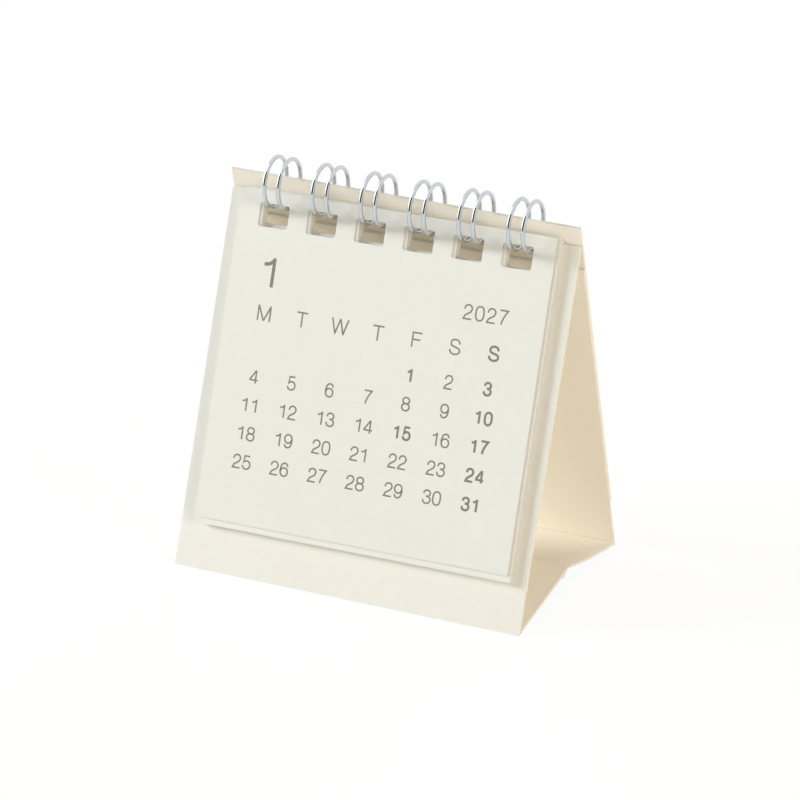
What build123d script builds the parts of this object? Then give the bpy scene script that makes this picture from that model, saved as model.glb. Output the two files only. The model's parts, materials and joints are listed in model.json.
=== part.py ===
"""Desk calendar: twelve month sheets on twin-loop wire, bound to a folded card easel.

The frame has +Z up, the width along X and the printed side facing -Y.
The origin is on the table, in the middle of the base.
"""
from build123d import *
import os
from math import asin, atan2, cos, degrees, hypot, pi, radians, sin, tan

os.makedirs("parts", exist_ok=True)

# Easel, in millimetres and degrees
panel_width = 60.6        # width of every card panel
base_depth = 39.2         # front foot to rear foot, outside
card = 0.45               # thickness of the easel's card
front_lean = 19.6         # front panel from the vertical
front_top_drop = 1.9      # front panel's top edge below the loops' axis, along the panel
back_top_rise = 0.85      # back panel's top edge above the loops' axis, along the panel
back_bottom_height = 8.8  # back panel's bottom edge above the table
strip_top_drop = 6.9      # rear strip's top edge below the loops' axis, along the panel
crease_height = 0.55      # base creases above the table
peak_height = 4.1         # raised fold across the middle of the base
peak_gap = 2.6            # room left at that fold, where the two flaps meet
crease_room = 0.06        # room between a flap and the panel that it is creased to
bearing_room = 0.05       # between the front panel's top edge and the back panel

# Glue lip under the front flap
lip_length = 8.0
lip_square = 1.1          # full-width part of the lip, beside the fold
lip_set_back = 0.4        # from the flap's end

# Sheets
sheet_names = ["january", "february", "march", "april", "may", "june", "july",
               "august", "september", "october", "november", "december"]
sheet_width = 54.8
sheet_height = 53.5
sheet_thickness = 0.09
sheet_gap = 0.02
sheet_top_drop = 1.35     # sheets' top edge below the loops' axis, along the sheet
sheet_corner = 0.4
stack_room = 0.03         # between the last sheet and the front panel

# Punched holes
hole_count = 6
hole_pitch = 25.4 / 3
hole_width = 5.2
hole_height = 3.8
hole_corner = 0.5
sheet_hole_margin = 2.0   # from the sheet's top edge
front_hole_margin = 1.1   # from the front panel's top edge
back_hole_margin = 3.2    # from the back panel's top edge
back_hole_height = 2.4    # lower holes, which stay hidden behind the sheets

# Twin-loop wire
axis_height = 60.4        # loops' axis above the table
axis_stand_off = 1.4      # loops' axis in front of the front panel
wire_diameter = 0.7
wire_room = 0.08          # between the loops and the last sheet's strip of paper
twin_spacing = 2.46       # between the two wires of a loop
root_bend = 0.9           # bend radius between a loop and the run beside it
root_room = 0.1           # between those runs and the back panel
seam_gap = 0.68           # between the loops' closed tips and the runs
end_stub = 1.5            # cut end of the wire

half_width = panel_width / 2
lean = radians(front_lean)
axis_y = axis_height * tan(lean) - axis_stand_off / cos(lean) - base_depth / 2
hole_centres = [(i - (hole_count - 1) / 2) * hole_pitch for i in range(hole_count)]


def at(y, z):
    """A point in the plane across the middle of the width."""
    return Vector(0, y, z)


# Each frame lies on the loops' axis: local Y runs up the panel, local Z is its outward normal.
loops_axis = at(axis_y, axis_height)
front_frame = Plane(loops_axis, x_dir=(1, 0, 0), z_dir=(0, -cos(lean), sin(lean)))
front_top_back = front_frame.from_local_coords(Vector(0, -front_top_drop, -axis_stand_off - card))

# The back panel's inner face runs from the rear foot to just behind the front panel's top edge.
rear_foot = base_depth / 2
bearing_reach = hypot(rear_foot - front_top_back.Y, front_top_back.Z)
back_lean = atan2(rear_foot - front_top_back.Y, front_top_back.Z) - asin(bearing_room / bearing_reach)
back_frame = Plane(loops_axis, x_dir=(-1, 0, 0), z_dir=(0, cos(back_lean), sin(back_lean)))
back_inner = back_frame.to_local_coords(at(rear_foot, 0)).Z
back_outer = back_inner + card


def slab(points):
    """A card piece of the full panel width, from its outline across the width."""
    outline = make_face(Polyline([at(p.Y, p.Z) for p in points], close=True))
    return extrude(outline, amount=half_width, dir=(1, 0, 0), both=True)


def on_table(frame, depth, height):
    """The point of a panel's plane, at a depth in its frame, at a height above the table."""
    drop = frame.from_local_coords(Vector(0, 0, depth)).Z - height
    return frame.from_local_coords(Vector(0, -drop / frame.y_dir.Z, depth))


def hole_row(margin_edge, low, high, frame, height=hole_height):
    """Cutters for the row of punched holes whose upper edge is at margin_edge."""
    row = Sketch() + [
        Pos(x, margin_edge - height / 2) * RectangleRounded(hole_width, height, hole_corner)
        for x in hole_centres
    ]
    return extrude(frame.offset(low) * row, amount=high - low)


# Front panel, with its foot cut level
front_face = -axis_stand_off
front_back = front_face - card
front_panel = slab([
    on_table(front_frame, front_face, 0),
    on_table(front_frame, front_back, 0),
    front_top_back,
    front_frame.from_local_coords(Vector(0, -front_top_drop, front_face)),
])
front_panel -= hole_row(-front_top_drop - front_hole_margin, front_back - card, front_face + card, front_frame)

# Back panel, which ends above the table
back_panel = slab([
    on_table(back_frame, back_inner, back_bottom_height),
    on_table(back_frame, back_outer, back_bottom_height),
    back_frame.from_local_coords(Vector(0, back_top_rise, back_outer)),
    back_frame.from_local_coords(Vector(0, back_top_rise, back_inner)),
])
back_panel -= hole_row(back_top_rise - back_hole_margin, back_inner - card, back_outer + card, back_frame,
                       back_hole_height)

# Rear strip, glued to the inside of the back panel, with its foot cut level
strip_inner = back_inner - card
rear_strip = slab([
    on_table(back_frame, strip_inner, 0),
    on_table(back_frame, back_inner, 0),
    back_frame.from_local_coords(Vector(0, -strip_top_drop, back_inner)),
    back_frame.from_local_coords(Vector(0, -strip_top_drop, strip_inner)),
])

# Base flaps, which rise from the two creases to the fold in the middle
front_crease = on_table(front_frame, front_back, crease_height)
rear_crease = on_table(back_frame, strip_inner, crease_height)
peak = at((front_crease.Y + rear_crease.Y) / 2, peak_height)


def flap_frame(crease):
    """Frame of a flap: local X runs from its crease to the fold, local Y is the upward normal."""
    along = (peak - crease).normalized()
    across = Vector(1, 0, 0) if along.Y > 0 else Vector(-1, 0, 0)
    return Plane(crease, x_dir=along, z_dir=across)


def flap(crease):
    """A base flap, with the underside of its far end cut back to clear the other flap."""
    frame = flap_frame(crease)
    end = (peak - crease).length - peak_gap / 2
    outline = [(crease_room, 0), (end, 0), (end - card, -card), (crease_room, -card)]
    return slab([frame.from_local_coords(Vector(x, y, 0)) for x, y in outline])


front_base_flap = flap(front_crease)
back_base_flap = flap(rear_crease)

# Glue lip, a tab with slanted ends under the front flap
lip_plane = flap_frame(front_crease)
lip_rear = (peak - front_crease).length - peak_gap / 2 - card - lip_set_back
lip_slant = lip_length - lip_square
lip_outline = Polyline(
    (lip_rear, -half_width),
    (lip_rear, half_width),
    (lip_rear - lip_square, half_width),
    (lip_rear - lip_length, half_width - lip_slant),
    (lip_rear - lip_length, -half_width + lip_slant),
    (lip_rear - lip_square, -half_width),
    close=True,
)
lip_face = Plane(front_crease, x_dir=lip_plane.x_dir, z_dir=lip_plane.y_dir).offset(-2 * card)
glue_lip = extrude(lip_face * make_face(lip_outline), amount=card)

# Month sheets, from the last, against the front panel, to the first
sheet_pitch = sheet_thickness + sheet_gap
stack_back = front_face + stack_room
sheet_hole_top = -sheet_top_drop - sheet_hole_margin
sheet_outline = Pos(0, -sheet_top_drop - sheet_height / 2) * RectangleRounded(
    sheet_width, sheet_height, sheet_corner)
sheets = {}
for order, name in enumerate(reversed(sheet_names)):
    low = stack_back + order * sheet_pitch
    blank = extrude(front_frame.offset(low) * sheet_outline, amount=sheet_thickness)
    holes = hole_row(sheet_hole_top, low - sheet_thickness, low + 2 * sheet_thickness, front_frame)
    sheets["page_" + name] = blank - holes

# Twin-loop wire: one tube that runs along the back, out round each loop and back again
loop_inside = hypot(stack_back, sheet_hole_top) + wire_room
loop_radius = loop_inside + wire_diameter / 2
root_reach = hypot(loop_radius, root_bend)
tip_reach = hypot(loop_radius, twin_spacing / 2)
root_depth = back_outer + root_room + wire_diameter / 2
root_angle = -back_lean - asin(root_depth / root_reach)
tip_angle = root_angle - (seam_gap + wire_diameter) / loop_radius
loop_start = root_angle + atan2(root_bend, loop_radius)
loop_end = radians(360) + tip_angle - atan2(twin_spacing / 2, loop_radius)


def round_loop(x, angle):
    """A point of a loop's centre line, turned from straight down towards the front."""
    return Vector(x, axis_y - loop_radius * sin(angle), axis_height - loop_radius * cos(angle))


def onward(angle):
    """The direction in which a loop runs at an angle."""
    return Vector(0, -cos(angle), sin(angle))


def loop_wire(x, first, last):
    """One wire of a loop, as four arcs."""
    step = (last - first) / 4
    ends = [first + i * step for i in range(5)]
    return [
        ThreePointArc(round_loop(x, a), round_loop(x, a + step / 2), round_loop(x, a + step))
        for a in ends[:-1]
    ]


def root_turn(x, side):
    """The quarter bend from a run to a loop's wire at x, on the loop's left (-1) or right (1)."""
    centre = round_loop(x, loop_start) + Vector(side * root_bend, 0, 0)
    back = onward(loop_start) * -root_bend
    middle = centre + Vector(-side * root_bend * cos(radians(45)), 0, 0) + back * sin(radians(45))
    points = [centre + back, middle, round_loop(x, loop_start)]
    return ThreePointArc(*points) if side < 0 else ThreePointArc(*reversed(points))


wire_edges = []
for x in hole_centres:
    left = x - twin_spacing / 2
    right = x + twin_spacing / 2
    turn_in = root_turn(left, -1)
    turn_out = root_turn(right, 1)
    run_start = wire_edges[-1] @ 1 if wire_edges else turn_in @ 0 - Vector(end_stub, 0, 0)
    tip = round_loop(x, loop_end) + onward(loop_end) * (twin_spacing / 2)
    wire_edges.append(Line(run_start, turn_in @ 0))
    wire_edges.append(turn_in)
    wire_edges += loop_wire(left, loop_start, loop_end)
    wire_edges.append(ThreePointArc(round_loop(left, loop_end), tip, round_loop(right, loop_end)))
    wire_edges += loop_wire(right, loop_end, loop_start)
    wire_edges.append(turn_out)
wire_edges.append(Line(wire_edges[-1] @ 1, wire_edges[-1] @ 1 + Vector(end_stub, 0, 0)))
wire_path = Wire(wire_edges)
wire_section = Plane(wire_path @ 0, z_dir=wire_path % 0) * Circle(wire_diameter / 2)
binding_wire = sweep(wire_section, path=wire_path)

# The wire's least gap to itself, on points half a diameter apart, past three diameters along it
spacing = wire_diameter / 2
count = int(wire_path.length / spacing)
trail = [wire_path @ (i / count) for i in range(count + 1)]
apart = 6
least = min(
    (trail[i] - trail[j]).length
    for i in range(len(trail))
    for j in range(i + apart, len(trail))
)
print("wire length", round(wire_path.length, 1), "least gap to itself", round(least - wire_diameter, 2))
plain_volume = wire_path.length * pi * wire_diameter ** 2 / 4
print("wire volume over section times length", round(binding_wire.volume / plain_volume, 4))

parts = {
    "front_panel": front_panel,
    "front_base_flap": front_base_flap,
    "glue_lip": glue_lip,
    "back_base_flap": back_base_flap,
    "rear_strip": rear_strip,
    "back_panel": back_panel,
    "binding_wire": binding_wire,
    **sheets,
}
for name, shape in parts.items():
    export_step(shape, f"parts/{name}.step")

for name, point in {"loops axis": loops_axis, "fold bearing": front_top_back,
                    "front crease": front_crease, "rear crease": rear_crease}.items():
    print(name, round(point.Y, 4), round(point.Z, 4))
print("back lean", round(degrees(back_lean), 3), "loop outside diameter",
      round(2 * loop_radius + wire_diameter, 2))
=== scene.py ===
"""Looks of a small desk calendar: a folded card easel, twelve month sheets and a twin-loop wire."""
import calendar
import json
import math

import bpy
import numpy as np
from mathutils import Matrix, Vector


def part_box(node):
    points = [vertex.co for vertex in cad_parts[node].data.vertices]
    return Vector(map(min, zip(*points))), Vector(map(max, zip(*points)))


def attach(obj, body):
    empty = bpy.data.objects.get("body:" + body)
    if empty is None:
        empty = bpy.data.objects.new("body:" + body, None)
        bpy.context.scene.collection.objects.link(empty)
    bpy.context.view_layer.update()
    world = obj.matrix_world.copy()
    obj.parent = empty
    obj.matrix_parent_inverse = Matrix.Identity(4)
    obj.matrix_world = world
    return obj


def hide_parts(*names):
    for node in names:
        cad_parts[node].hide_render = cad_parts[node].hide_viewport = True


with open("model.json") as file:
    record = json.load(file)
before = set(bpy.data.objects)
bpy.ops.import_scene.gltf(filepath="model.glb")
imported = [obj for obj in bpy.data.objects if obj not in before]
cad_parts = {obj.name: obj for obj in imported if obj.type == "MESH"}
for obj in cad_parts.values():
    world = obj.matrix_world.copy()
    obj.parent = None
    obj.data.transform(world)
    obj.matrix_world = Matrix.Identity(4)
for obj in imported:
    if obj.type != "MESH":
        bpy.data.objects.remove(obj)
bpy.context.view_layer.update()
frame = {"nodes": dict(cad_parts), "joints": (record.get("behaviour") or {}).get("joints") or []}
MM = 0.001

# Card easel: front panel, back panel, rear strip, the two base flaps and the glue lip.
# Ivory paperboard, about half a millimetre thick, die-cut, scored and folded.
# The rear strip and the lip are glued, the other pieces are one folded blank.


def linear(hex_colour):
    """An sRGB hex colour as linear RGBA: the sRGB curve undone in each channel."""
    srgb = np.array([int(hex_colour[i:i + 2], 16) for i in (1, 3, 5)]) / 255
    rgb = np.where(srgb <= 0.04045, srgb / 12.92, ((srgb + 0.055) / 1.055) ** 2.4)
    return (*rgb.tolist(), 1.0)


def node(tree, kind, feeds=None, **settings):
    """Adds one node: settings go on the node, feeds give its inputs a value or a socket."""
    made = tree.nodes.new(kind)
    for name, value in settings.items():
        setattr(made, name, value)
    for name, value in (feeds or {}).items():
        if isinstance(value, bpy.types.NodeSocket):
            tree.links.new(value, made.inputs[name])
        else:
            made.inputs[name].default_value = value
    return made


def blank_material(name):
    """A new node material with a shader and an output; gives the tree and the shader."""
    material = bpy.data.materials.new(name)
    material.use_nodes = True
    tree = material.node_tree
    tree.nodes.clear()
    shader = node(tree, "ShaderNodeBsdfPrincipled")
    node(tree, "ShaderNodeOutputMaterial", {"Surface": shader.outputs[0]})
    return material, tree, shader


def two_tints(tree, amount, low, deep, high, pale):
    """A colour that goes from deep to pale as an amount goes from low to high."""
    ramp = node(tree, "ShaderNodeValToRGB", {"Fac": amount})
    for stop, (position, colour) in enumerate(((low, deep), (high, pale))):
        ramp.color_ramp.elements[stop].position = position
        ramp.color_ramp.elements[stop].color = linear(colour)
    return ramp.outputs["Color"]


def share_between(tree, amount, low, high):
    """A share that goes from 0 to 1 as an amount goes from low to high."""
    return node(tree, "ShaderNodeMapRange", {0: amount, 1: low, 2: high, 3: 0.0, 4: 1.0}).outputs[0]


FIBRE_STRETCH = (0.28, 1.0, 1.0)
FIBRE_SLANT = (0.0, 0.0, 0.5)
FIBRE_SHARE = 0.7
TINT_LOW, TINT_HIGH = 0.3, 0.7
INNER_LOW, INNER_HIGH = 0.3, 0.6
EDGE_LOW, EDGE_HIGH = 0.6, 0.9
RELIEF_STRENGTH = 0.35
PULP_IOR = 1.46
PULP_SHEEN = 0.35


def pulp_material(name, pale, deep, edge_core_and_shade, inner_tone_and_shade, inward, cloud, fibre, relief, roughness):
    """Paper or board: pulp clouds and fibres mix two tints, and edges that face sideways take a darker
    tint: partly the cut core, partly painted shade.

    cloud and fibre are the sizes of the pulp's flocks and fibres, and relief is the
    depth of its surface, all in millimetres. The side that faces inward has its own tint,
    partly its own back and partly painted warm shade.
    """
    material, tree, shader = blank_material(name)
    place = node(tree, "ShaderNodeTexCoord")
    flocks = node(tree, "ShaderNodeTexNoise", {
        "Vector": place.outputs["Object"], "Scale": 1 / (cloud * MM), "Detail": 2.0, "Roughness": 0.5})
    long_way = node(tree, "ShaderNodeMapping", {
        "Vector": place.outputs["Object"], "Scale": FIBRE_STRETCH, "Rotation": FIBRE_SLANT})
    fibres = node(tree, "ShaderNodeTexNoise", {
        "Vector": long_way.outputs[0], "Scale": 1 / (fibre * MM), "Detail": 4.0, "Roughness": 0.6})
    both = node(tree, "ShaderNodeMix", {
        0: FIBRE_SHARE, 2: flocks.outputs["Fac"], 3: fibres.outputs["Fac"]}, data_type="FLOAT")
    tint = two_tints(tree, both.outputs[0], TINT_LOW, deep, TINT_HIGH, pale)
    faced = node(tree, "ShaderNodeVectorMath", {
        0: place.outputs["Normal"], 1: inward}, operation="DOT_PRODUCT")
    # Painted warm shade: faces that point inward take the warmer inner tint, partly the board's own back.
    inner_tone_and_shade_share = share_between(tree, faced.outputs["Value"], INNER_LOW, INNER_HIGH)
    sided = node(tree, "ShaderNodeMix", {0: inner_tone_and_shade_share, 6: tint, 7: linear(inner_tone_and_shade)}, data_type="RGBA")
    # Painted shade: faces that point sideways take the darker edge tint, partly the cut core.
    across = node(tree, "ShaderNodeSeparateXYZ", {0: place.outputs["Normal"]})
    sideways = node(tree, "ShaderNodeMath", {0: across.outputs["X"]}, operation="ABSOLUTE")
    edge_core_and_shade_share = share_between(tree, sideways.outputs[0], EDGE_LOW, EDGE_HIGH)
    colour = node(tree, "ShaderNodeMix", {0: edge_core_and_shade_share, 6: sided.outputs[2], 7: linear(edge_core_and_shade)}, data_type="RGBA")
    surface = node(tree, "ShaderNodeBump", {
        "Strength": RELIEF_STRENGTH, "Distance": relief * MM, "Height": fibres.outputs["Fac"]})
    tree.links.new(colour.outputs[2], shader.inputs["Base Color"])
    tree.links.new(surface.outputs[0], shader.inputs["Normal"])
    shader.inputs["Roughness"].default_value = roughness
    shader.inputs["IOR"].default_value = PULP_IOR
    shader.inputs["Specular IOR Level"].default_value = PULP_SHEEN
    return material


# Uncoated ivory board, calendered: matt, with a short fibre grain and a warmer inner side, partly its own
# back and partly painted warm shade of light bounced inside the easel.
# Its sideways edges are darker: partly the board's core, partly painted shade.
INWARD = {"front_panel": (0, 1, 0), "back_panel": (0, -1, 0), "rear_strip": (0, -1, 0),
          "front_base_flap": (0, 0, 1), "back_base_flap": (0, 0, 1), "glue_lip": (0, 0, 1)}
for name, inward in INWARD.items():
    frame["nodes"][name].material_slots[0].material = pulp_material(
        "ivory_board_" + name, "#F4F4ED", "#F1F0E6", "#E2DED2", "#FCF6E9", inward,
        cloud=7.0, fibre=0.35, relief=0.02, roughness=0.78)

# Base of the easel: a front and a rear leaf, creased to the two feet and folded up in the middle.
# The same board. Their far edges meet along the ridge, and the rear leaf sags a little.
# A lip with slanted ends is glued under the front leaf, beside the ridge.
EASEL_WIDE = 60.6
BOARD = 0.45
RIDGE_HEIGHT = 4.1
CREASE_ROOM = 0.06
RIDGE_ROOM = 0.03
UNDERCUT = 0.64
REAR_SAG = 0.28
LEAF_STEPS = 33
creases = {j["name"]: np.array(j["pos_m"][1:]) / MM for j in frame["joints"] if "crease" in j["name"]}
front_crease, rear_crease = creases["front_flap_crease"], creases["back_flap_crease"]
ridge = np.array([(front_crease[0] + rear_crease[0]) / 2, RIDGE_HEIGHT])


def leaf_axes(crease):
    """The directions of a base leaf: from its crease to the ridge, and its upward normal."""
    along = (ridge - crease) / np.linalg.norm(ridge - crease)
    return along, np.array([-along[1], along[0]]) * np.sign(along[0])


def board_strip(upper, lower):
    """A closed strip of board: the ring of its upper and lower line, carried across the width."""
    ring = np.concatenate([upper, lower[::-1]])
    count = len(ring)
    points = np.concatenate([
        np.column_stack([np.full(count, side * EASEL_WIDE / 2), ring]) for side in (-1, 1)])
    here = np.arange(count)
    onward = (here + 1) % count
    near = np.arange(len(upper) - 1)
    cap = np.stack([near, near + 1, count - 2 - near, count - 1 - near], axis=1)
    around = np.stack([here, here + count, onward + count, onward], axis=1)
    return points, np.concatenate([around, cap, cap[:, ::-1] + count])


def add_piece(name, points, faces, material):
    """A new mesh object at the origin, from points in millimetres."""
    mesh = bpy.data.meshes.new(name)
    mesh.from_pydata((np.asarray(points) * MM).tolist(), [], [list(face) for face in faces])
    mesh.materials.append(material)
    piece = bpy.data.objects.new(name, mesh)
    bpy.context.scene.collection.objects.link(piece)
    return piece


for leaf, crease, body, sag in (("front_base_flap", front_crease, "front_flap", 0.0),
                                ("back_base_flap", rear_crease, "back_flap", REAR_SAG)):
    along, up = leaf_axes(crease)
    reach = np.linalg.norm(ridge - crease)
    step = np.linspace(0, 1, LEAF_STEPS)[:, None]
    dip = 4 * sag * step * (1 - step)
    over = CREASE_ROOM + step * (reach - CREASE_ROOM - RIDGE_ROOM)
    under = CREASE_ROOM + step * (reach - CREASE_ROOM - UNDERCUT)
    upper = crease + along * over - up * dip
    lower = crease + along * under - up * (BOARD + dip)
    points, faces = board_strip(upper, lower)
    if along[0] < 0:
        faces = faces[:, ::-1]
    piece = add_piece("folded_" + leaf, points, faces, frame["nodes"][leaf].material_slots[0].material)
    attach(piece, body)
    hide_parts(leaf)

LIP_REAR, LIP_LONG, LIP_SQUARE = 1.25, 8.0, 1.1
along, up = leaf_axes(front_crease)
slant = LIP_LONG - LIP_SQUARE
half = EASEL_WIDE / 2
lip_outline = np.array([(half, LIP_REAR), (-half, LIP_REAR), (-half, LIP_REAR + LIP_SQUARE),
                        (slant - half, LIP_REAR + LIP_LONG), (half - slant, LIP_REAR + LIP_LONG),
                        (half, LIP_REAR + LIP_SQUARE)])
lip_faces = [np.column_stack([lip_outline[:, :1], ridge - along * lip_outline[:, 1:] - up * depth])
             for depth in (BOARD, 2 * BOARD)]
count = len(lip_outline)
corner = np.arange(count)
onward = (corner + 1) % count
sides = np.stack([corner, corner + count, onward + count, onward], axis=1)
lip = add_piece("glued_lip", np.concatenate(lip_faces),
                [*sides.tolist(), corner.tolist(), (corner + count)[::-1].tolist()],
                frame["nodes"]["glue_lip"].material_slots[0].material)
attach(lip, "front_flap")
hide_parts("glue_lip")

# Month sheets: twelve leaves of ivory wove paper, square-cut and punched along the top.
# They hang loose on the loops, and each turns over the top with the sheets in front of it.

# Uncoated wove paper: matt, a little cooler than the card, with a finer grain; its edges that face sideways
# are darker and warmer.
wove_paper = pulp_material(
    "wove_paper", "#F0F1EA", "#ECEDE6", "#E0DAD0", "#F0F1EA", (0, 1, 0),
    cloud=6.0, fibre=0.25, relief=0.012, roughness=0.82)
MONTHS = ["january", "february", "march", "april", "may", "june", "july",
          "august", "september", "october", "november", "december"]
PAGE_LEAN = math.radians(19.6)
PAGE_REACH = 54.85
HANG_TURN = math.radians(0.62)
HANG_JOG = [-0.70, -0.66, -0.12, -0.10, -0.08, -0.07, -0.06, -0.05, -0.03, -0.02, -0.01, 0.0]
HANG_DROP = [0.0, 0.05, 1.035, 1.05, 1.047, 1.043, 1.036, 1.026, 1.011, 0.992, 0.968, 0.943]
HANG_LIFT = [1.0, 1.0, 0.95, 0.90, 0.82, 0.74, 0.65, 0.55, 0.43, 0.30, 0.15, 0.0]
loops_axis = np.array(next(j for j in frame["joints"] if j["name"] == "december_turn")["pos_m"])

# The loose leaves hang turned by a little over half a degree. The first two sit higher and further
# left than the rest. The rear ones have less room on the wire: they lean over, but their right side
# lifts less. A ramp is half of 1 plus its coordinate, so a shift along it is half as strong.
ramp_x = bpy.data.textures.new("ramp_across", "BLEND")
ramp_y = bpy.data.textures.new("ramp_back", "BLEND")
ramp_y.use_flip_axis = "VERTICAL"
swing = -2 * HANG_TURN / math.sin(PAGE_LEAN)
level_x = 0.5
level_y = (1 + loops_axis[1]) / 2
for month, jog, drop, lift in zip(MONTHS, HANG_JOG, HANG_DROP, HANG_LIFT):
    longer = 2 * drop / PAGE_REACH
    page = frame["nodes"]["page_" + month]
    page.material_slots[0].material = wove_paper
    for axis, ramp, strength, level in (
            ("X", ramp_y, swing, level_y - jog * MM / swing),
            ("Z", ramp_y, longer / math.tan(PAGE_LEAN), level_y),
            ("Y", ramp_y, longer, level_y),
            ("Y", ramp_x, 2 * lift * HANG_TURN * math.sin(PAGE_LEAN), level_x),
            ("Z", ramp_x, 2 * lift * HANG_TURN * math.cos(PAGE_LEAN), level_x)):
        hang = page.modifiers.new("hang_" + axis.lower(), "DISPLACE")
        hang.direction = axis
        hang.texture = ramp
        hang.texture_coords = "LOCAL"
        hang.strength = strength
        hang.mid_level = level

# Figures printed on each sheet: the month's number, the year, the days' initials and the dates.
# One flat warm-grey ink, a light sans for most figures and a bold one for Sundays.
# They are strokes of even width, a few microns thick, set into the face of the paper.
PAGE_THICK = 0.09
INK_RISE = 0.006
INK_SINK = 0.004
LIGHT, BOLD = 0.26, 0.37
MITRE_LONGEST = 2.2
MITRE_SHARPEST = 0.2
DIGIT_BOX = 0.65
ADVANCE = 0.725

# Pen strokes in a unit box: a pair is a straight move, six numbers are a curve's two controls and end.
LETTERFORMS = {
    "0": [[(0.5, 0), (0.1, 0, 0, 0.2, 0, 0.5), (0, 0.8, 0.1, 1, 0.5, 1), (0.9, 1, 1, 0.8, 1, 0.5),
           (1, 0.2, 0.9, 0, 0.5, 0)]],
    "1": [[(1, 1), (1, 0)], [(0, 0.76), (0.5, 0.76, 0.86, 0.82, 1, 0.97)]],
    "2": [[(0.04, 0.68), (0.04, 0.88, 0.22, 1, 0.5, 1), (0.78, 1, 0.96, 0.88, 0.96, 0.71),
           (0.96, 0.35, 0.02, 0.42, 0, 0), (1, 0)]],
    "3": [[(0.04, 0.72), (0.06, 0.9, 0.24, 1, 0.48, 1), (0.76, 1, 0.93, 0.9, 0.93, 0.75),
           (0.93, 0.6, 0.74, 0.53, 0.38, 0.53)],
          [(0.45, 0.53), (0.8, 0.53, 1, 0.44, 1, 0.28), (1, 0.1, 0.78, 0, 0.5, 0),
           (0.2, 0, 0, 0.1, 0, 0.3)]],
    "4": [[(0.76, 0), (0.76, 1)], [(0.72, 0.98), (-0.02, 0.26)], [(-0.06, 0.24), (1.06, 0.24)]],
    "5": [[(0.92, 1), (0.2, 1), (0.09, 0.47), (0.2, 0.59, 0.34, 0.64, 0.5, 0.64),
           (0.8, 0.64, 1, 0.52, 1, 0.33), (1, 0.12, 0.8, 0, 0.5, 0), (0.22, 0, 0.02, 0.1, 0, 0.27)]],
    "6": [[(0.95, 0.75), (0.9, 0.92, 0.76, 1, 0.54, 1), (0.16, 1, 0, 0.8, 0, 0.42),
           (0, 0.14, 0.2, 0, 0.51, 0), (0.82, 0, 1, 0.14, 1, 0.32), (1, 0.5, 0.82, 0.64, 0.52, 0.64),
           (0.24, 0.64, 0.06, 0.52, 0.02, 0.36)]],
    "7": [[(0, 1), (1, 1), (0.6, 0.64, 0.38, 0.34, 0.3, 0)]],
    "8": [[(0.5, 0.53), (0.2, 0.53, 0.06, 0.63, 0.06, 0.76), (0.06, 0.9, 0.22, 1, 0.5, 1),
           (0.78, 1, 0.94, 0.9, 0.94, 0.76), (0.94, 0.63, 0.8, 0.53, 0.5, 0.53)],
          [(0.5, 0), (0.2, 0, 0, 0.1, 0, 0.27), (0, 0.43, 0.18, 0.53, 0.5, 0.53),
           (0.82, 0.53, 1, 0.43, 1, 0.27), (1, 0.1, 0.8, 0, 0.5, 0)]],
    "9": [[(0.05, 0.25), (0.1, 0.08, 0.24, 0, 0.46, 0), (0.84, 0, 1, 0.2, 1, 0.58),
           (1, 0.86, 0.8, 1, 0.49, 1), (0.18, 1, 0, 0.86, 0, 0.68), (0, 0.5, 0.18, 0.36, 0.48, 0.36),
           (0.76, 0.36, 0.94, 0.48, 0.98, 0.64)]],
    "M": [[(0, -0.01), (0, 1.05)], [(0, 1.04), (0.5, 0)], [(0.5, 0), (1, 1.04)],
          [(1, 1.05), (1, -0.01)]],
    "T": [[(0, 1), (1, 1)], [(0.5, 1), (0.5, 0)]],
    "W": [[(0, 1.05), (0.26, -0.03)], [(0.24, -0.03), (0.5, 1.03)], [(0.5, 1.03), (0.76, -0.03)],
          [(0.74, -0.03), (1, 1.05)]],
    "F": [[(0, 0), (0, 1), (1, 1)], [(0, 0.53), (0.86, 0.53)]],
    "S": [[(0.94, 0.71), (0.94, 0.9, 0.76, 1, 0.5, 1), (0.22, 1, 0.06, 0.9, 0.06, 0.74),
           (0.06, 0.56, 0.25, 0.55, 0.5, 0.5), (0.78, 0.44, 1, 0.42, 1, 0.26),
           (1, 0.09, 0.78, 0, 0.51, 0), (0.2, 0, 0.01, 0.12, 0, 0.31)]],
}
LETTER_BOX = {"1": 0.43, "4": 0.67, "M": 0.91, "T": 0.84, "W": 1.19, "F": 0.70, "S": 0.75}
LETTER_SHIFT = {"1": -0.065, "F": 0.04}
CURVE_STEPS, LARGE_CURVE_STEPS = 4, 8
YEAR = 2027
SUNDAY = 6
BOLD_DAYS = {1: (1, 15)}
COLUMNS = -0.52 + (np.arange(7) - 3) * 6.68
NUMBER_X, NUMBER_UP, NUMBER_HEIGHT, NUMBER_WEIGHT = -20.36, -14.2, 5.25, 0.56
TWO_FIGURE_SHIFT = 1.2
YEAR_X, YEAR_UP, YEAR_HEIGHT, YEAR_PITCH = 17.38, -15.05, 2.50, 2.01
INITIAL_SHIFT, INITIAL_UP, INITIAL_HEIGHT = 0.19, -20.85, 2.6
DATE_UP, DATE_STEP, DATE_HEIGHT = -26.5, 4.60, 2.36


def pen_line(moves, samples):
    """The points of a pen stroke: each curve is a cubic in its four controls, each pair a corner."""
    line = [np.array([moves[0]])]
    along = np.linspace(0, 1, samples + 1)[1:, None]
    for move in moves[1:]:
        ends = np.array(move, float).reshape(-1, 2)
        if len(ends) == 1:
            line.append(ends)
        else:
            start = line[-1][-1]
            line.append((1 - along) ** 3 * start + 3 * along * (1 - along) ** 2 * ends[0]
                        + 3 * along ** 2 * (1 - along) * ends[1] + along ** 3 * ends[2])
    return np.concatenate(line)


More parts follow.
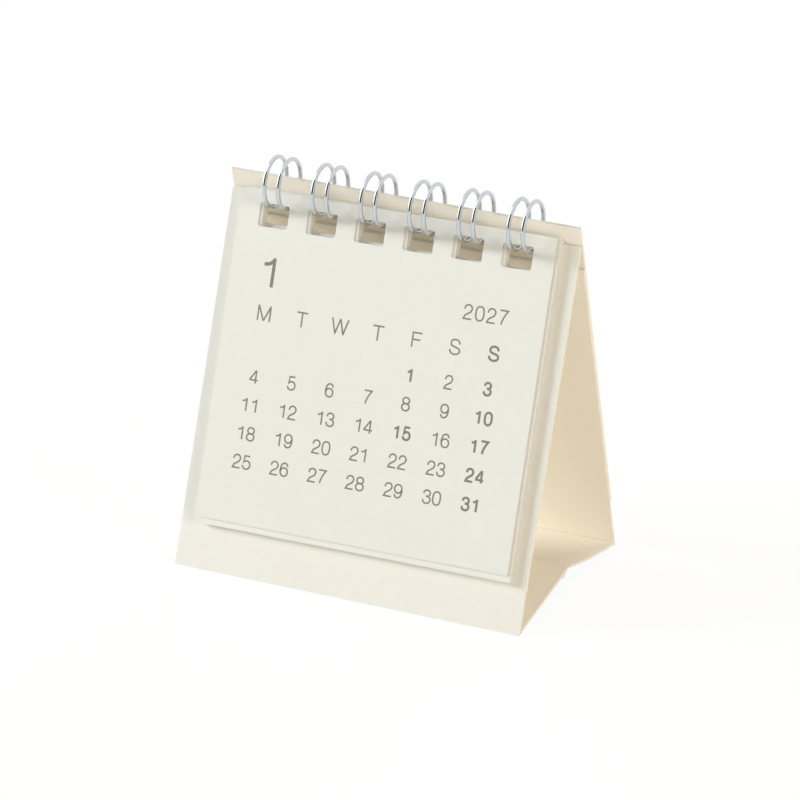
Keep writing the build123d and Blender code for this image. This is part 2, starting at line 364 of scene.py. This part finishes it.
def inked_stroke(line, weight, rise):
    """A flat bar along a line: each point moves half the weight to both sides, on the mitre."""
    closed = np.allclose(line[0], line[-1])
    path = line[:-1] if closed else line
    step = np.roll(path, -1, axis=0) - path
    step /= np.linalg.norm(step, axis=1, keepdims=True)
    before = np.roll(step, 1, axis=0)
    if not closed:
        step[-1] = before[-1]
        before[0] = step[0]
    side = np.stack([-(step + before)[:, 1], (step + before)[:, 0]], axis=1)
    side /= np.linalg.norm(side, axis=1, keepdims=True)
    square = np.stack([-step[:, 1], step[:, 0]], axis=1)
    sharp = np.maximum((side * square).sum(axis=1), MITRE_SHARPEST)
    mitre = np.minimum(1 / sharp, MITRE_LONGEST)[:, None]
    left = path + side * mitre * weight / 2
    right = path - side * mitre * weight / 2
    count = len(path)
    low = np.full((count, 1), -INK_SINK)
    high = np.full((count, 1), rise)
    ring = np.stack([np.hstack([left, high]), np.hstack([left, low]),
                     np.hstack([right, low]), np.hstack([right, high])], axis=1)
    corner = np.arange(4)
    nearby = np.arange(count if closed else count - 1)[:, None]
    onward = (nearby + 1) % count
    faces = np.stack([nearby * 4 + corner, nearby * 4 + (corner + 1) % 4,
                      onward * 4 + (corner + 1) % 4, onward * 4 + corner], axis=2).reshape(-1, 4)
    if not closed:
        ends = np.array([[3, 2, 1, 0], [0, 1, 2, 3] + np.array(4 * (count - 1))])
        faces = np.concatenate([faces, ends])
    return ring.reshape(-1, 3), faces[:, ::-1]


def lettering(words):
    """All the strokes of a sheet. A word is its text, centre, cap height, stroke weight and samples."""
    points, faces, count = [], [], 0
    for text, (x, up), height, weight, samples in words:
        boxes = [LETTER_BOX.get(letter, DIGIT_BOX) * height for letter in text]
        pitch = ADVANCE * height
        for place, (letter, wide) in enumerate(zip(text, boxes)):
            middle = x + (place - (len(text) - 1) / 2) * pitch + LETTER_SHIFT.get(letter, 0) * height
            for order, moves in enumerate(LETTERFORMS[letter]):
                line = pen_line(moves, samples)
                room = np.array([wide - weight, height - weight])
                line = (line - 0.5) * room + (middle, up)
                stroke, quads = inked_stroke(line, weight, INK_RISE * (1 + order / 2))
                points.append(stroke)
                faces.append(quads + count)
                count += len(stroke)
    return np.concatenate(points), np.concatenate(faces)


def month_words(number):
    """What a sheet says, set out in millimetres from its middle and from the loops' axis."""
    number_x = NUMBER_X + (TWO_FIGURE_SHIFT if number > 9 else 0)
    words = [(str(number), (number_x, NUMBER_UP), NUMBER_HEIGHT, NUMBER_WEIGHT, LARGE_CURVE_STEPS)]
    for place, digit in enumerate(str(YEAR)):
        digit_x = YEAR_X + (place - 1.5) * YEAR_PITCH
        words.append((digit, (digit_x, YEAR_UP), YEAR_HEIGHT, LIGHT, CURVE_STEPS))
    for column, initial in enumerate("MTWTFSS"):
        spot = (COLUMNS[column] + INITIAL_SHIFT, INITIAL_UP)
        words.append((initial, spot, INITIAL_HEIGHT, BOLD if column == SUNDAY else LIGHT, CURVE_STEPS))
    for row, week in enumerate(calendar.Calendar(0).monthdayscalendar(YEAR, number)):
        for column, day in enumerate(week):
            if day:
                heavy = column == SUNDAY or day in BOLD_DAYS.get(number, ())
                spot = (COLUMNS[column], DATE_UP - row * DATE_STEP)
                words.append((str(day), spot, DATE_HEIGHT, BOLD if heavy else LIGHT, CURVE_STEPS))
    return words


# Offset ink: matt, a little uneven where the paper's fibres take it up.
INK_SPECKLE = 0.18
grey_ink, ink_tree, ink_shader = blank_material("grey_ink")
ink_place = node(ink_tree, "ShaderNodeTexCoord")
ink_speckle = node(ink_tree, "ShaderNodeTexNoise", {
    "Vector": ink_place.outputs["Object"], "Scale": 1 / (INK_SPECKLE * MM), "Detail": 2.0})
ink_tint = two_tints(ink_tree, ink_speckle.outputs["Fac"], 0.35, "#807F76", 0.65, "#8D8C83")
ink_tree.links.new(ink_tint, ink_shader.inputs["Base Color"])
ink_shader.inputs["Roughness"].default_value = 0.7
ink_shader.inputs["IOR"].default_value = 1.5

page_up = np.array([0, math.sin(PAGE_LEAN), math.cos(PAGE_LEAN)])
page_out = np.array([0, -math.cos(PAGE_LEAN), math.sin(PAGE_LEAN)])
page_across = np.array([1, 0, 0])
for number, (month, jog, drop, lift) in enumerate(zip(MONTHS, HANG_JOG, HANG_DROP, HANG_LIFT), 1):
    low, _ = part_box("page_" + month)
    foot = np.array([0, low.y, low.z + PAGE_THICK * MM * math.sin(PAGE_LEAN)])
    face = (loops_axis + page_out * ((foot - loops_axis) @ page_out)) / MM
    spots, quads = lettering(month_words(number))
    across, along, above = spots[:, :1], spots[:, 1:2] * (1 + drop / PAGE_REACH), spots[:, 2:]
    placed = (face + (across - HANG_TURN * along + jog) * page_across
              + (along + lift * HANG_TURN * across) * page_up + above * page_out)
    figures = add_piece(month + "_figures", placed, quads.tolist(), grey_ink)
    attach(figures, month + "_sheet")

# Binding wire: one length of nickel-plated steel wire, bent into six twin loops.
# The loops pass through all the holes and are pressed shut behind the back panel.
# It follows the line of the solid, as a finer tube with smooth sides.
WIRE_THICK = 0.7
LOOP_RADIUS = 4.0493
LOOP_PITCH = 25.4 / 3
LOOP_COUNT = 6
TWIN_SPACING = 2.46
ROOT_BEND = 0.9
ROOT_ANGLE = math.radians(-22.84)
TIP_ANGLE = math.radians(288.2)
END_STUB = 1.5
LOOP_STEPS, BEND_STEPS, TIP_STEPS = 97, 9, 17
WIRE_SIDES = 16
WIRE_MARKS = 0.5


def round_loop(x, angle):
    """Points on a loop: the radius turned from straight down towards the front."""
    angle = np.asarray(angle, float)
    return np.stack([np.full_like(angle, x), loops_axis[1] / MM - LOOP_RADIUS * np.sin(angle),
                     loops_axis[2] / MM - LOOP_RADIUS * np.cos(angle)], axis=-1)


def bend(centre, first, second, start, end, steps):
    """An arc: the centre plus one vector by the cosine and another by the sine of the angle."""
    angle = np.linspace(start, end, steps)[:, None]
    return centre + np.array(first) * np.cos(angle) + np.array(second) * np.sin(angle)


def twin_loop(x):
    """A loop's line: in from the run, out over the left wire, round the tip and back on the right."""
    apart = TWIN_SPACING / 2
    left, right = x - apart, x + apart
    sweep = np.linspace(ROOT_ANGLE, TIP_ANGLE, LOOP_STEPS)
    behind = ROOT_BEND * np.array([0, math.cos(ROOT_ANGLE), -math.sin(ROOT_ANGLE)])
    ahead = apart * np.array([0, -math.cos(TIP_ANGLE), math.sin(TIP_ANGLE)])
    sideways = np.array([ROOT_BEND, 0, 0])
    turn_in = bend(round_loop(left, ROOT_ANGLE) - sideways, behind, sideways, 0, math.pi / 2, BEND_STEPS)
    turn_out = bend(round_loop(right, ROOT_ANGLE) + sideways, behind, -sideways, math.pi / 2, 0, BEND_STEPS)
    tip = bend(round_loop(x, TIP_ANGLE), (-apart, 0, 0), ahead, 0, math.pi, TIP_STEPS)
    return np.concatenate([turn_in[:-1], round_loop(left, sweep)[:-1], tip,
                           round_loop(right, sweep[::-1])[1:-1], turn_out])


def round_tube(line, thick, sides):
    """A tube: at each point, a circle across the line, set out from the way to the loops' axis."""
    onward = np.gradient(line, axis=0)
    onward /= np.linalg.norm(onward, axis=1, keepdims=True)
    outward = line - loops_axis / MM
    outward[:, 0] = 0
    outward -= onward * (outward * onward).sum(axis=1, keepdims=True)
    outward /= np.linalg.norm(outward, axis=1, keepdims=True)
    across = np.cross(onward, outward)
    around = np.linspace(0, 2 * math.pi, sides, endpoint=False)[None, :, None]
    circle = outward[:, None] * np.cos(around) + across[:, None] * np.sin(around)
    rings = line[:, None] + thick / 2 * circle
    here = np.arange(len(line) - 1)[:, None] * sides
    side = np.arange(sides)
    quads = np.stack([here + side, here + (side + 1) % sides,
                      here + sides + (side + 1) % sides, here + sides + side], axis=2).reshape(-1, 4)
    last = (len(line) - 1) * sides
    return rings.reshape(-1, 3), [*quads.tolist(), side[::-1].tolist(), (last + side).tolist()]


centres = (np.arange(LOOP_COUNT) - (LOOP_COUNT - 1) / 2) * LOOP_PITCH
wire_line = np.concatenate([twin_loop(x) for x in centres])
stub = np.array([[END_STUB, 0, 0]])
wire_line = np.concatenate([wire_line[:1] - stub, wire_line, wire_line[-1:] + stub])

# Drawn and plated wire: bright, with faint marks that blur its reflections here and there.
plated_wire, wire_tree, wire_shader = blank_material("plated_wire")
wire_place = node(wire_tree, "ShaderNodeTexCoord")
wire_marks = node(wire_tree, "ShaderNodeTexNoise", {
    "Vector": wire_place.outputs["Object"], "Scale": 1 / (WIRE_MARKS * MM), "Detail": 3.0})
wire_gloss = node(wire_tree, "ShaderNodeMapRange", {0: wire_marks.outputs["Fac"], 3: 0.08, 4: 0.16})
wire_tint = two_tints(wire_tree, wire_marks.outputs["Fac"], 0.0, "#C2C6CB", 1.0, "#D6DADE")
wire_tree.links.new(wire_tint, wire_shader.inputs["Base Color"])
wire_tree.links.new(wire_gloss.outputs[0], wire_shader.inputs["Roughness"])
wire_shader.inputs["Metallic"].default_value = 1.0
frame["nodes"]["binding_wire"].material_slots[0].material = plated_wire
wire = add_piece("twin_loop_wire", *round_tube(wire_line, WIRE_THICK, WIRE_SIDES), plated_wire)
wire.data.polygons.foreach_set("use_smooth", np.ones(len(wire.data.polygons), bool))
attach(wire, "front_stand")
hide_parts("binding_wire")

# Studio: a white floor and white all round, with five soft lamps. The main one stands at the left and
# above, and a low one at the right warms the inside of the easel. The floor keeps a trace of shadow.
FLOOR_REACH, FLOOR_DEPTH = 4.0, 0.00005
FLOOR_GLOW, FLOOR_CLEAR = 1.03, 0.90
SKY_STRENGTH = 0.32
SQUARE = ((-1, -1), (1, -1), (1, 1), (-1, 1))


def stage_sheet(name, corners, material):
    """A flat sheet of the studio, from its four corners in metres."""
    mesh = bpy.data.meshes.new(name)
    mesh.from_pydata([tuple(corner) for corner in corners], [], [(0, 1, 2, 3)])
    mesh.materials.append(material)
    sheet = bpy.data.objects.new(name, mesh)
    bpy.context.scene.collection.objects.link(sheet)
    return sheet


def clear_rays(tree):
    """1 for rays from the camera, off a mirror or through glass, and 0 for rays that only light."""
    path = node(tree, "ShaderNodeLightPath")
    direct = node(tree, "ShaderNodeMath", {
        0: path.outputs["Is Camera Ray"], 1: path.outputs["Is Glossy Ray"]}, operation="MAXIMUM")
    return node(tree, "ShaderNodeMath", {
        0: direct.outputs[0], 1: path.outputs["Is Transmission Ray"]}, operation="MAXIMUM").outputs[0]


# White paper sweep: matt, and so bright to the eye that only a trace of shadow stays on it.
white_floor, floor_tree, floor_shader = blank_material("white_floor")
floor_shader.inputs["Base Color"].default_value = linear("#F2F2F2")
floor_shader.inputs["Roughness"].default_value = 0.9
floor_shader.inputs["Specular IOR Level"].default_value = 0.0
floor_glow = node(floor_tree, "ShaderNodeEmission", {"Color": linear("#FFFFFF"), "Strength": FLOOR_GLOW})
floor_seen = node(floor_tree, "ShaderNodeMath", {
    0: clear_rays(floor_tree), 1: FLOOR_CLEAR}, operation="MULTIPLY")
floor_mix = node(floor_tree, "ShaderNodeMixShader", {
    0: floor_seen.outputs[0], 1: floor_shader.outputs[0], 2: floor_glow.outputs[0]})
floor_output = next(n for n in floor_tree.nodes if n.bl_idname == "ShaderNodeOutputMaterial")
floor_tree.links.new(floor_mix.outputs[0], floor_output.inputs["Surface"])
stage_sheet("floor", [(a * FLOOR_REACH, b * FLOOR_REACH, -FLOOR_DEPTH) for a, b in SQUARE], white_floor)

world = bpy.data.worlds.new("studio")
bpy.context.scene.world = world
world.use_nodes = True
world.node_tree.nodes.clear()
sky = node(world.node_tree, "ShaderNodeBackground", {"Color": linear("#FFF0DA"), "Strength": SKY_STRENGTH})
seen = node(world.node_tree, "ShaderNodeBackground", {"Color": linear("#FFFFFF"), "Strength": 1.0})
shown = node(world.node_tree, "ShaderNodeMixShader", {
    0: clear_rays(world.node_tree), 1: sky.outputs[0], 2: seen.outputs[0]})
node(world.node_tree, "ShaderNodeOutputWorld", {"Surface": shown.outputs[0]})

# Soft lamps, which no mirror shows: where each stands and what it points at, its power and its tint.
LAMP_SIZE = 0.5
for name, place, at, power, colour in (
        ("left_softbox", (-1.2, -0.50, 0.60), (0, 0, 0.03), 16.8, "#EEF6FF"),
        ("left_rear_softbox", (-1.1, 0.45, 0.30), (0, 0, 0.03), 4.0, "#FFFDF8"),
        ("right_rear_softbox", (1.0, 0.40, 0.28), (0, 0, 0.03), 1.4, "#FFFDFA"),
        ("right_fill", (0.95, -0.34, 0.17), (0, 0, 0.02), 6.6, "#FFF7EA"),
        ("rear_softbox", (0.10, 1.20, 0.50), (0, 0, 0.03), 4.6, "#FFFDF8")):
    lamp = bpy.data.lights.new(name, "AREA")
    lamp.size = LAMP_SIZE
    lamp.energy = power
    lamp.color = linear(colour)[:3]
    stand = bpy.data.objects.new(name, lamp)
    stand.location = place
    stand.visible_glossy = False
    stand.rotation_euler = (Vector(at) - Vector(place)).to_track_quat("-Z", "Y").to_euler()
    bpy.context.scene.collection.objects.link(stand)

# A dark and a bright card, which only the bright wire mirrors: they light and hide nothing.
CARD_TALL = 1.04
CARD_GLOW = 3.0
dark_card, _, dark_shader = blank_material("dark_card")
dark_shader.inputs["Base Color"].default_value = linear("#161618")
dark_shader.inputs["Roughness"].default_value = 1.0
bright_card, _, bright_shader = blank_material("bright_card")
bright_shader.inputs["Base Color"].default_value = linear("#000000")
bright_shader.inputs["Emission Color"].default_value = linear("#FFFFFF")
bright_shader.inputs["Emission Strength"].default_value = CARD_GLOW
for name, place, wide, finish in (("near_card", Vector((0.0, -0.779, 0.45)), 1.40, dark_card),
                                  ("left_card", Vector((-0.753, -0.202, 0.45)), 0.70, bright_card)):
    towards = -place.normalized()
    along = towards.cross(Vector((0, 0, 1))).normalized() * wide / 2
    upright = along.cross(towards).normalized() * CARD_TALL / 2
    card = stage_sheet(name, [place + a * along + b * upright for a, b in SQUARE], finish)
    card.visible_camera = False
    card.visible_diffuse = False
    card.visible_shadow = False
    card.visible_transmission = False

# Camera, where the photograph was taken: a long lens from the front right, a little above.
# Its place was fitted to the photograph's corners, holes and loops. The last shift is in its pixels.
azimuth, elevation, roll = (math.radians(a) for a in (24.647, 22.644, 0.891))
distance = 766.8 * MM
lens_px, image_px, sensor = 4785.0, 800.0, 36.0
aim = np.array([-0.133, 0, 27.42]) * MM
shift_px = (2.0, -2.2)
back = np.array([math.sin(azimuth) * math.cos(elevation), -math.cos(azimuth) * math.cos(elevation),
                 math.sin(elevation)])
level = np.array([math.cos(azimuth), math.sin(azimuth), 0])
upward = np.cross(back, level)
right = math.cos(roll) * level + math.sin(roll) * upward
above = -math.sin(roll) * level + math.cos(roll) * upward
target = aim + (right * shift_px[0] + above * shift_px[1]) * distance / lens_px
camera = bpy.data.cameras.new("camera")
camera.sensor_width = sensor
camera.lens = lens_px / image_px * sensor
camera.clip_start, camera.clip_end = 0.01, 20
camera_stand = bpy.data.objects.new("camera", camera)
bpy.context.scene.collection.objects.link(camera_stand)
turn = np.eye(4)
turn[:3, 0], turn[:3, 1], turn[:3, 2], turn[:3, 3] = right, above, back, target + back * distance
camera_stand.matrix_world = [list(row) for row in turn.T]
bpy.context.scene.camera = camera_stand
bpy.context.scene.view_settings.view_transform = "Standard"
